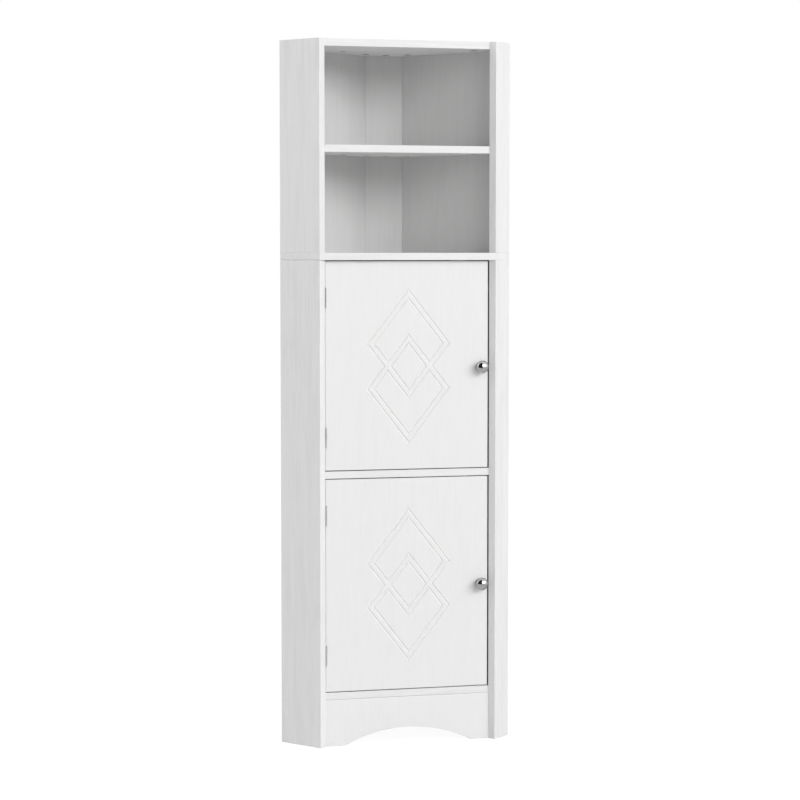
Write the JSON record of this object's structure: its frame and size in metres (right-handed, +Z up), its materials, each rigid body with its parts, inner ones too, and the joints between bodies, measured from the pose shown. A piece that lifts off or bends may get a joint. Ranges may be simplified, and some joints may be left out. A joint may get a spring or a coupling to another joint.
{
  "type": "corner bathroom cabinet",
  "caption": "Tall narrow corner cabinet on a six-sided plan: open shelf bays above, hinged doors with a diamond ornament below, arched skirting at the floor.",
  "frame": {"origin": "under the middle of the cabinet's box, on the floor", "axes": "+Z up; the front with its doors faces -Y; +X to the right of a person facing the front"},
  "size_m": [0.5092, 0.2856, 1.55],
  "materials": {
    "carcass_board": "white grained foil",
    "door_lacquer": "white grained foil",
    "dowel_wood": "bare beech",
    "knob_metal": "polished",
    "hardware_steel": "zinc plated",
    "cam_metal": "cast zinc",
    "magnet": "dull ferrite",
    "catch_plastic": "moulded"
  },
  "bodies": {
    "carcass": {"lower_left_side": "carcass_board", "lower_right_side": "carcass_board", "lower_left_back": "carcass_board", "lower_right_back": "carcass_board", "lower_corner_back": "carcass_board", "upper_left_side": "carcass_board", "upper_right_side": "carcass_board", "upper_left_back": "carcass_board", "upper_right_back": "carcass_board", "upper_corner_back": "carcass_board", "bottom_board": "carcass_board", "divider_board": "carcass_board", "middle_board": "carcass_board", "open_shelf": "carcass_board", "top_board": "carcass_board", "skirting_board": "carcass_board", "lower_inner_shelf": "carcass_board", "upper_inner_shelf": "carcass_board", "shelf_pins": "hardware_steel", "cam_locks": "cam_metal", "cam_bolts": "hardware_steel", "side_dowels": "dowel_wood", "stack_dowels": "dowel_wood", "skirting_dowels": "dowel_wood", "hinge_frame_leaves": "hardware_steel", "hinge_pins": "hardware_steel", "hinge_frame_screws": "hardware_steel", "catch_housings": "catch_plastic", "catch_magnets": "magnet", "catch_screws": "hardware_steel"},
    "lower_door": {"lower_door_panel": "door_lacquer", "lower_knob": "knob_metal", "lower_knob_screw": "hardware_steel", "lower_strike_plate": "hardware_steel", "lower_strike_screws": "hardware_steel", "lower_hinge_door_leaves": "hardware_steel", "lower_hinge_door_screws": "hardware_steel"},
    "upper_door": {"upper_door_panel": "door_lacquer", "upper_knob": "knob_metal", "upper_knob_screw": "hardware_steel", "upper_strike_plate": "hardware_steel", "upper_strike_screws": "hardware_steel", "upper_hinge_door_leaves": "hardware_steel", "upper_hinge_door_screws": "hardware_steel"}
  },
  "joints": [
    {"name": "lower_door_hinge", "type": "hinge", "parent": "carcass", "child": "lower_door", "pos_m": [-0.16841, -0.11931, 0.35625], "axis": [0, 0, -1], "range_deg": [0, 120]},
    {"name": "upper_door_hinge", "type": "hinge", "parent": "carcass", "child": "upper_door", "pos_m": [-0.16841, -0.11931, 0.84], "axis": [0, 0, -1], "range_deg": [0, 120]}
  ]
}
